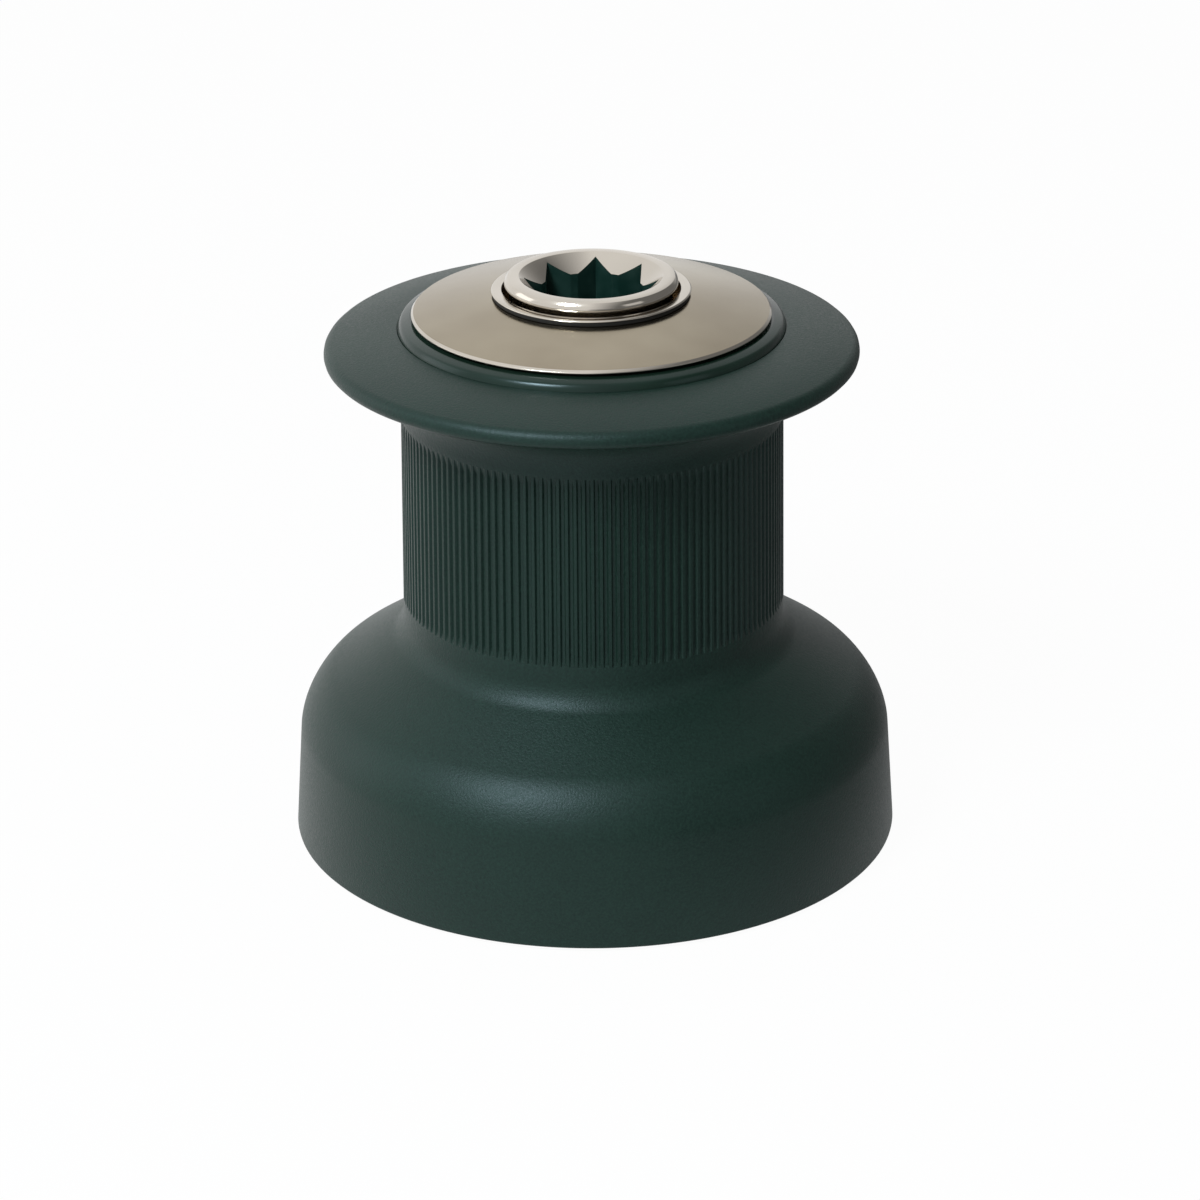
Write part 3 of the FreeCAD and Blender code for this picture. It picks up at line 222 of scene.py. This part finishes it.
shoulder_run = SHOULDER[0] - BARREL_FOOT[0]
shoulder_rise = BARREL_FOOT[1] - SHOULDER[1]
shoulder_slope = math.hypot(shoulder_run, shoulder_rise)
inner_shoulder = SHOULDER[0] - SKIRT_WALL
inner_shoulder_z = SHOULDER[1] - SKIRT_WALL * (shoulder_slope - shoulder_rise) / shoulder_run
seat_outside = HOLDING_SEAT[0] + HOLDING_WALL
seat_top_z = inner_shoulder_z + (inner_shoulder - seat_outside) * shoulder_rise / shoulder_run
rib_rows = (RIB_FOOT, RIB_FOOT + RIB_RAMP, RIB_TOP - RIB_RAMP, RIB_TOP)

drum = turned("drum_turning", [
    SKIRT_FOOT,
    SHOULDER,
    BARREL_FOOT,
    *[(barrel_radius(height), height) for height in rib_rows],
    BARREL_TOP,
    RIM_UNDER,
    RIM_TOP,
    (COLLAR_SEAT[0], FLANGE_TOP, EDGE_ROUND),
    COLLAR_SEAT,
    (UPSTAND[1], COLLAR_SEAT[1]),
    (UPSTAND[1], UPSTAND[2]),
    (UPSTAND[0], UPSTAND[2]),
    (UPSTAND[0], WEB[2]),
    (WEB[0], WEB[2]),
    (WEB[0], WEB[1]),
    (DRIVE_SEAT, WEB[1]),
    (DRIVE_SEAT, DRUM_BORE[2]),
    (DRUM_BORE[0], DRUM_BORE[2]),
    (DRUM_BORE[0], DRUM_BORE[1]),
    (DRUM_LIP, DRUM_BORE[1]),
    (DRUM_LIP, HOLDING_SEAT[2]),
    (HOLDING_SEAT[0], HOLDING_SEAT[2]),
    (HOLDING_SEAT[0], HOLDING_SEAT[1]),
    (seat_outside, HOLDING_SEAT[1]),
    (seat_outside, seat_top_z),
    (inner_shoulder, inner_shoulder_z, SHOULDER[2] - SKIRT_WALL),
    (SKIRT_FOOT[0] - SKIRT_WALL, *SKIRT_FOOT[1:]),
], steps=RIB_COUNT * RIB_COLUMNS)


def in_groove(spot):
    """True for the points of a groove's floor: three columns of points in each rib's pitch."""
    if spot.xy.length < (BARREL_TOP[0] - RIB_DEPTH) * MM:
        return False
    if min(abs(spot.z - height * MM) for height in rib_rows[1:3]) > NEAR_SPOT:
        return False
    column = round(math.atan2(spot.y, spot.x) / math.tau * RIB_COUNT * RIB_COLUMNS)
    return column % RIB_COLUMNS in (0, 1, RIB_COLUMNS - 1)


bpy.ops.object.mode_set(mode="EDIT")
select_points(drum, in_groove)
inward = 1 - RIB_DEPTH / BARREL_TOP[0]
bpy.ops.transform.resize(value=(inward, inward, 1), center_override=(0, 0, 0))
bpy.ops.object.mode_set(mode="OBJECT")
finish_piece(drum, blasted_anodising(), "drum", "anodised_drum", "drum")

# The collar: a smooth black aluminium ring, seated on the flange round the cap. It is glossier than
# the drum, and a dark line is left between it and the cap.
COLLAR_BORE = 30.05
COLLAR_SIDE = (35.55, 99.9)
COLLAR_SHOULDER = (35.0, 100.9, 0.8)
COLLAR_TOP = (33.4, 101.4)


def smooth_anodising():
    """Smooth black anodising over fine turning marks."""
    finish = Finish("smooth_anodising", Specular_Tint=(0.42, 0.52, 0.56, 1))
    clouds = finish.noise(60)
    colour = finish.colours(clouds, (0.3, (0.006, 0.016, 0.010)), (0.7, (0.010, 0.024, 0.016)))
    return finish.wear(colour, finish.spread(clouds, 0.17, 0.25), finish.noise(1800), 0.01, 0.4)


collar = turned("collar_ring", [
    (COLLAR_BORE, COLLAR_SEAT[1]),
    (COLLAR_SIDE[0], COLLAR_SEAT[1]),
    COLLAR_SIDE,
    COLLAR_SHOULDER,
    (*COLLAR_TOP, EDGE_ROUND),
    (COLLAR_BORE, COLLAR_TOP[1]),
])
finish_piece(collar, smooth_anodising(), "drum", "gloss_collar", "cap_collar")

# The cap: stainless steel, a shallow satin cone with a bevelled edge and a raised lip round the
# spindle, both polished and painted lighter than the cone as a painted highlight. It screws into the
# drum's upstand and covers the collets. Its face is plain.
CAP_BORE = 16.4
CAP_SLEEVE = (25.3, 27.5, 98.2)
CAP_UNDER = 101.3
CAP_EDGE = (33.0, 102.15, 102.3)
CAP_BEVEL = 0.4
CAP_ROUND = 0.1
CAP_FINE_ROUND = 0.05
CAP_LIP = (18.3, 106.7, 0.2)
SEAL_GROOVE = (17.3, 105.5, 106.4)


def paint(piece, material, wanted):
    """Gives the wanted faces of a piece a material of their own."""
    piece.data.materials.append(material)
    for face in piece.data.polygons:
        if wanted(face):
            face.material_index = len(piece.data.materials) - 1


def turned_steel(name, dark, light, low, high):
    """Warm stainless steel, with fine turning marks round the axis."""
    finish = Finish(name, Metallic=1.0)
    rings = finish.node("ShaderNodeVectorMath", {"operation": "LENGTH"}, {
        0: finish.node("ShaderNodeVectorMath", {"operation": "MULTIPLY"}, {
            0: finish.place(), 1: (1, 1, 0),
        }),
    }, output="Value")
    along = finish.node("ShaderNodeCombineXYZ", inputs={"X": rings})
    marks = finish.noise(6000, detail=3.0, at=along)
    clouds = finish.noise(70)
    colour = finish.colours(clouds, (0.3, dark), (0.7, light))
    return finish.wear(colour, finish.spread(marks, low, high), marks, 0.01, 0.5)


# Two copies of one steel: the polished copy is painted much lighter than the satin one, and its lighter
# colour is a painted highlight.
satin = turned_steel("satin_steel", (0.32, 0.275, 0.205), (0.37, 0.325, 0.245), 0.16, 0.26)
polish_and_highlight = turned_steel("polished_steel_painted_highlight", (0.55, 0.51, 0.45), (0.62, 0.575, 0.51), 0.1, 0.18)
cap = turned("cap_plate", [
    (CAP_BORE, CAP_UNDER),
    (CAP_SLEEVE[0], CAP_UNDER),
    (CAP_SLEEVE[0], CAP_SLEEVE[2]),
    (CAP_SLEEVE[1], CAP_SLEEVE[2]),
    (CAP_SLEEVE[1], CAP_EDGE[1]),
    (CAP_EDGE[0], CAP_EDGE[1]),
    (CAP_EDGE[0], CAP_EDGE[2], CAP_FINE_ROUND),
    (CAP_EDGE[0] - CAP_BEVEL, CAP_EDGE[2] + CAP_BEVEL, CAP_ROUND),
    (CAP_LIP[0], SEAL_GROOVE[1], CAP_ROUND),
    (SEAL_GROOVE[0], SEAL_GROOVE[1]),
    (SEAL_GROOVE[0], SEAL_GROOVE[2]),
    (CAP_LIP[0], SEAL_GROOVE[2], CAP_FINE_ROUND),
    (CAP_LIP[0], CAP_LIP[1] - CAP_LIP[2], CAP_ROUND),
    (CAP_LIP[0] - CAP_LIP[2], CAP_LIP[1], CAP_ROUND),
    (CAP_BORE, CAP_LIP[1], CAP_ROUND),
])
finish_piece(cap, satin, "drum", "polished_cap", "top_cap")
lip_foot = SEAL_GROOVE[2] * MM
bevel_foot = (CAP_EDGE[0] - CAP_BEVEL) * MM


def on_lip_or_bevel(face):
    """True for the faces of the cap's lip, and for those of its bevelled edge."""
    return face.center.z > lip_foot or face.center.xy.length > bevel_foot


# The lip and the bevel take the lighter polished copy, whose lighter colour is a painted highlight.
paint(cap, polish_and_highlight, on_lip_or_bevel)

# The seal: a black rubber ring in the groove under the cap's lip. It is seen as a thin dark line.
SEAL = (17.35, 18.1, 105.55, 106.35)


def black_rubber():
    """Dull black rubber with a fine grain."""
    finish = Finish("black_rubber", Specular_IOR_Level=0.3)
    grain = finish.noise(1500)
    colour = finish.colours(grain, (0.3, (0.006, 0.006, 0.006)), (0.7, (0.012, 0.012, 0.011)))
    return finish.wear(colour, finish.spread(grain, 0.5, 0.65), grain, 0.02, 0.5)


seal = turned("seal_ring", [(*corner, EDGE_ROUND) for corner in (
    (SEAL[0], SEAL[2]), (SEAL[1], SEAL[2]), (SEAL[1], SEAL[3]), (SEAL[0], SEAL[3]),
)])
finish_piece(seal, black_rubber(), "drum", "black_rubber", "cap_seal")

# The main spindle: stainless steel bar, turned. Its polished head stands out of the cap's neck and
# holds the handle's socket: two squares at 45 degrees, with a countersunk mouth. The wide part
# carries the drive pawls in two pockets, and the thin end runs down to the base.
SPINDLE_END = (3.0, 0.8)
SPINDLE = (10.0, 58.0)
CIRCLIP_GROOVE = (9.2, 5.2, 6.5)
JOURNAL = 14.8
CARRIER = (21.4, 80.4, 90.0)
SPINDLE_NECK = 15.9
COLLET_GROOVE = (14.2, 98.8, 101.3)
HEAD_NECK = 15.0
HEAD_UNDER = (107.3, 0.4)
SPINDLE_TOP = (109.2, 1.2)
SOCKET_SQUARE = 17.5
SOCKET_MOUTH = (13.2, 3.05, 0.2)
SOCKET_BORE = 9.8
LOCK = (12.6, 72.0, 77.0)
DRIVE_PIVOT = 17.4
DRIVE_SEAT_RADIUS = 3.1
DRIVE_POCKET = (14.3, 83.6, 28.6)
DRIVE_PIN = (1.25, 80.9)
OVERCUT = 1
SQUARE_RUN_OUT = 0.5


def cut_away(piece, tools):
    """Cuts tools out of a piece, and removes them."""
    for tool in tools:
        cut = piece.modifiers.new("cut", "BOOLEAN")
        cut.operation = "DIFFERENCE"
        cut.solver = "EXACT"
        cut.object = tool
        bpy.ops.object.select_all(action="DESELECT")
        bpy.context.view_layer.objects.active = piece
        bpy.ops.object.modifier_apply(modifier=cut.name)
        bpy.data.objects.remove(tool)


def round_tool(radius, across, foot, top, turn=0):
    """A drill: a cylinder that stands so far from the axis, at an angle in degrees."""
    bpy.ops.object.select_all(action="DESELECT")
    place = Matrix.Rotation(math.radians(turn), 3, "Z") @ Vector((across, 0, (foot + top) / 2))
    bpy.ops.mesh.primitive_cylinder_add(
        vertices=48, radius=radius * MM, depth=(top - foot) * MM, location=place * MM
    )
    bpy.ops.object.transform_apply(location=True)
    return bpy.context.object


def square_tool(side, foot, top, turn):
    """A square broach on the axis."""
    bpy.ops.object.select_all(action="DESELECT")
    bpy.ops.mesh.primitive_cube_add(size=MM, location=(0, 0, (foot + top) / 2 * MM))
    bpy.ops.object.mode_set(mode="EDIT")
    centre = bpy.context.object.location
    bpy.ops.transform.resize(value=(side, side, top - foot), center_override=centre)
    bpy.ops.transform.rotate(value=math.radians(turn), orient_axis="Z", center_override=(0, 0, 0))
    bpy.ops.object.mode_set(mode="OBJECT")
    bpy.ops.object.transform_apply(location=True)
    return bpy.context.object


def sector_tool(inner, outer, foot, top, first, last):
    """A milling cut between two radii and two angles."""
    bpy.ops.object.select_all(action="DESELECT")
    bpy.ops.mesh.primitive_plane_add(size=MM)
    tool = bpy.context.object
    bpy.ops.object.mode_set(mode="EDIT")
    bpy.ops.mesh.select_all(action="SELECT")
    bpy.ops.transform.resize(value=(outer - inner, top - foot, 1), center_override=(0, 0, 0))
    bpy.ops.object.mode_set(mode="OBJECT")
    stand = Matrix.Rotation(math.pi / 2, 4, "X")
    across = Matrix.Translation(Vector((inner + outer, 0, foot + top)) * MM / 2)
    tool.data.transform(Matrix.Rotation(math.radians(first), 4, "Z") @ across @ stand)
    bpy.ops.object.mode_set(mode="EDIT")
    bpy.ops.mesh.select_all(action="SELECT")
    steps = max(4, math.ceil((last - first) / 4))
    angle = math.radians(last - first)
    bpy.ops.mesh.spin(steps=steps, angle=angle, center=(0, 0, 0), axis=(0, 0, 1))
    bpy.ops.mesh.select_all(action="SELECT")
    bpy.ops.mesh.remove_doubles(threshold=SAME_SPOT)
    bpy.ops.mesh.normals_make_consistent(inside=False)
    bpy.ops.object.mode_set(mode="OBJECT")
    return tool


spindle = turned("spindle_turning", [
    (0, SPINDLE_END[0]),
    (SPINDLE[0], *SPINDLE_END),
    (SPINDLE[0], CIRCLIP_GROOVE[1]),
    (CIRCLIP_GROOVE[0], CIRCLIP_GROOVE[1]),
    (CIRCLIP_GROOVE[0], CIRCLIP_GROOVE[2]),
    (SPINDLE[0], CIRCLIP_GROOVE[2]),
    SPINDLE,
    (JOURNAL, SPINDLE[1]),
    (JOURNAL, CARRIER[1]),
    (CARRIER[0], CARRIER[1]),
    (CARRIER[0], CARRIER[2]),
    (SPINDLE_NECK, CARRIER[2]),
    (SPINDLE_NECK, COLLET_GROOVE[1]),
    (COLLET_GROOVE[0], COLLET_GROOVE[1]),
    (COLLET_GROOVE[0], COLLET_GROOVE[2]),
    (HEAD_NECK, COLLET_GROOVE[2]),
    (HEAD_NECK, HEAD_UNDER[0]),
    (SPINDLE_NECK, HEAD_UNDER[0], HEAD_UNDER[1]),
    (SPINDLE_NECK, *SPINDLE_TOP),
    (SOCKET_MOUTH[0], SPINDLE_TOP[0], SOCKET_MOUTH[2]),
    (SOCKET_BORE, SPINDLE_TOP[0] - SOCKET_MOUTH[1]),
    (SOCKET_BORE, LOCK[2]),
    (LOCK[0], LOCK[2]),
    (LOCK[0], LOCK[1]),
    (0, LOCK[1]),
])
above = SPINDLE_TOP[0] + OVERCUT
tools = [square_tool(SOCKET_SQUARE, LOCK[2] - SQUARE_RUN_OUT, above, turn) for turn in (0, 45)]
for turn in (0, 180):
    tools += [
        round_tool(DRIVE_SEAT_RADIUS, DRIVE_PIVOT, DRIVE_POCKET[1], CARRIER[2] + OVERCUT, turn),
        round_tool(DRIVE_PIN[0], DRIVE_PIVOT, DRIVE_PIN[1], DRIVE_POCKET[1] + OVERCUT, turn),
        sector_tool(
            DRIVE_POCKET[0], CARRIER[0] + OVERCUT, DRIVE_POCKET[1], CARRIER[2] + OVERCUT,
            turn - DRIVE_POCKET[2], turn,
        ),
    ]
cut_away(spindle, tools)
# The spindle takes the lighter polished copy of the steel, whose lighter colour is a painted highlight.
finish_piece(spindle, polish_and_highlight, "spindle", "spindle_steel", "main_spindle", sharp=30)


def in_socket(face):
    """True for the upright walls of the socket."""
    return face.center.xy.length < SOCKET_MOUTH[0] * MM and abs(face.normal.z) < 0.3


def socket_painted_shade():
    """The socket's walls: painted dark teal, a painted shade and dark reflection inside the socket."""
    finish = Finish("socket_painted_shade")
    shade_mottle = finish.noise(300, detail=3.0)
    colour = finish.colours(shade_mottle, (0.3, (0.004, 0.022, 0.017)), (0.7, (0.009, 0.034, 0.027)))
    return finish.wear(colour, finish.spread(shade_mottle, 0.3, 0.45), shade_mottle, 0.02, 0.5)


# The socket's upright walls get a painted shade: a dark teal that stands in for the shade and dark
# reflections inside the socket.
paint(spindle, socket_painted_shade(), in_socket)

# Inside and underneath: the base is cast aluminium, machined and clear-anodised; the stem, the
# ratchet rings and the collets are bronze; pins, screws and pawls are stainless steel; the bearings'
# cages, rollers and washers are acetal. These keep the shapes they have in the frame.


def cast_alloy():
    """Grey cast aluminium with a coarse grain."""
    finish = Finish("cast_alloy", Metallic=0.9)
    grain = finish.noise(700, detail=4.0, roughness=0.6)
    clouds = finish.noise(40)
    tone = grain * 0.5 + clouds * 0.5
    colour = finish.colours(tone, (0.3, (0.30, 0.31, 0.32)), (0.7, (0.44, 0.45, 0.46)))
    return finish.wear(colour, finish.spread(grain, 0.42, 0.6), grain, 0.12)


def turned_metal(name, dark, light, low, high):
    """Metal with turning marks: fine rings along the piece's height, and a slow change of tone."""
    finish = Finish(name, Metallic=1.0)
    squeezed = finish.node(
        "ShaderNodeMapping", inputs={"Vector": finish.place(), "Scale": (0.05, 0.05, 1)}
    )
    marks = finish.noise(2500, detail=2.0, at=squeezed)
    clouds = finish.noise(80)
    colour = finish.colours(clouds, (0.3, dark), (0.7, light))
    return finish.wear(colour, finish.spread(marks, low, high), marks, 0.012, 0.6)


def moulded_acetal(name, dark, light):
    """Plastic with a dull moulded skin."""
    finish = Finish(name, IOR=1.48)
    grain = finish.noise(1200, detail=2.0)
    colour = finish.colours(finish.noise(90), (0.3, dark), (0.7, light))
    return finish.wear(colour, finish.spread(grain, 0.32, 0.45), grain, 0.015, 0.5)


def dress(material, *nodes):
    """Gives the frame's own pieces their material."""
    for node in nodes:
        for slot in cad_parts[node].material_slots:
            slot.material = material


pawls = [f"{kind}_pawl_{letter}" for kind in ("holding", "drive") for letter in "ab"]
dress(cast_alloy(), "base")
dress(
    turned_metal("machined_bronze", (0.42, 0.26, 0.12), (0.52, 0.34, 0.17), 0.22, 0.36),
    "centre_stem", "holding_ratchet_ring", "drive_ratchet_ring", "collets",
)
dress(
    turned_metal("turned_stainless", (0.50, 0.49, 0.47), (0.58, 0.57, 0.55), 0.2, 0.32),
    "stem_screws", "holding_pawl_pins", "holding_ring_pins", "drive_ring_pins", "drive_pawl_pins",
    "spindle_washer", *pawls,
)
dress(
    turned_metal("drawn_spring_wire", (0.30, 0.30, 0.30), (0.38, 0.38, 0.38), 0.25, 0.35),
    "spindle_circlip", *[pawl.replace("pawl", "pawl_spring") for pawl in pawls],
)
dress(
    moulded_acetal("black_acetal", (0.012, 0.012, 0.013), (0.020, 0.020, 0.021)),
    "lower_spindle_bush", "upper_spindle_bush", "lower_cage", "upper_cage",
)
dress(
    moulded_acetal("white_acetal", (0.70, 0.70, 0.67), (0.78, 0.78, 0.76)),
    "lower_bearing_washer", "bearing_spacer", "drum_thrust_washer", "collet_washer",
    "lower_rollers", "upper_rollers",
)

# The studio: a white floor and room, of which reflections see less to the right, a soft light at the
# upper left, weaker ones at the left and the right, and the camera at the photograph's place.
VIEW_TARGET = Vector((0, 0, 0.051))
VIEW_DISTANCE = 0.8
VIEW_HEIGHT = math.radians(22.99)
VIEW_TURN = math.radians(3.95)
VIEW_ROLL = math.radians(-0.447)
LENS = 127.95
LENS_SHIFT = (0.0055, -0.0262)
DARK_SIDE = 0.8

bpy.ops.object.select_all(action="DESELECT")
bpy.ops.mesh.primitive_plane_add(size=8)
floor = bpy.context.object
floor.name = "studio_floor"
bpy.ops.object.mode_set(mode="EDIT")
bpy.ops.mesh.subdivide(number_cuts=3)
bpy.ops.object.mode_set(mode="OBJECT")


def white_behind(finish, kind, share, across, near, far):
    """Shows the camera, reflections and glass plain white, which reflections lose to the right."""
    path = finish.node("ShaderNodeLightPath").socket.node.outputs
    mirrored = Link(finish, path["Is Glossy Ray"])
    seen = mirrored + Link(finish, path["Is Camera Ray"]) + Link(finish, path["Is Transmission Ray"])
    sides = finish.node("ShaderNodeSeparateXYZ", inputs={"Vector": across})
    inputs = {"Value": sides, "From Min": near, "From Max": far, "To Max": DARK_SIDE}
    strength = 1 - mirrored * finish.node("ShaderNodeMapRange", inputs=inputs)
    white = finish.node(kind, inputs={"Color": (1, 1, 1, 1), "Strength": strength})
    return seen * share, white


floor_finish = Finish("studio_floor", Roughness=0.9)
tone = floor_finish.colours(floor_finish.noise(3), (0.3, (0.80, 0.80, 0.80)), (0.7, (0.82, 0.82, 0.82)))
floor_finish.feed(floor_finish.shader, {"Base Color": tone})
share, white = white_behind(
    floor_finish, "ShaderNodeEmission", 0.97, floor_finish.place(), -0.02, 0.12,
)
mixed = floor_finish.node("ShaderNodeMixShader", inputs={
    0: share, 1: Link(floor_finish, floor_finish.shader.outputs[0]), 2: white,
})
floor_finish.feed(floor_finish.tree.nodes["Material Output"], {"Surface": mixed})
floor.data.materials.append(floor_finish.material)


class Room(Finish):
    """The room's own light, as a world."""

    def __init__(self, name):
        self.material = bpy.data.worlds.new(name)
        self.material.use_nodes = True
        self.tree = self.material.node_tree
        self.shader = self.tree.nodes["Background"]

    def heading(self):
        return self.node("ShaderNodeTexCoord", output="Generated")


room = Room("studio_room")
room.feed(room.shader, {"Color": (0.62, 0.64, 0.66, 1), "Strength": 0.5})
share, white = white_behind(room, "ShaderNodeBackground", 1.0, room.heading(), 0.0, 0.6)
mixed = room.node("ShaderNodeMixShader", inputs={
    0: share, 1: Link(room, room.shader.outputs[0]), 2: white,
})
room.feed(room.tree.nodes["World Output"], {"Surface": mixed})
bpy.context.scene.world = room.material


def soft_light(name, place, size, power, colour=(1, 1, 1)):
    """A square area light that faces the winch."""
    data = bpy.data.lights.new(name, "AREA")
    data.shape = "SQUARE"
    data.size = size
    data.energy = power
    data.color = colour
    lamp = bpy.data.objects.new(name, data)
    bpy.context.scene.collection.objects.link(lamp)
    lamp.location = place
    lamp.rotation_euler = (VIEW_TARGET - Vector(place)).to_track_quat("-Z", "Y").to_euler()


soft_light("key_light", (-0.47, -0.75, 0.95), 0.35, 13, (0.85, 0.94, 1.0))
soft_light("left_light", (-1.1, 0.1, 0.35), 0.6, 1)
soft_light("right_light", (1.1, -0.6, 0.5), 0.6, 0.6)

camera_data = bpy.data.cameras.new("view")
camera_data.lens = LENS
camera_data.shift_x, camera_data.shift_y = LENS_SHIFT
camera_data.clip_start = 0.01
camera = bpy.data.objects.new("view", camera_data)
bpy.context.scene.collection.objects.link(camera)
away = Vector((
    math.sin(VIEW_TURN) * math.cos(VIEW_HEIGHT),
    -math.cos(VIEW_TURN) * math.cos(VIEW_HEIGHT),
    math.sin(VIEW_HEIGHT),
))
camera.matrix_world = (
    Matrix.Translation(VIEW_TARGET + away * VIEW_DISTANCE)
    @ away.to_track_quat("Z", "Y").to_matrix().to_4x4()
    @ Matrix.Rotation(VIEW_ROLL, 4, "Z")
)
bpy.context.scene.camera = camera
bpy.context.scene.view_settings.view_transform = "Standard"
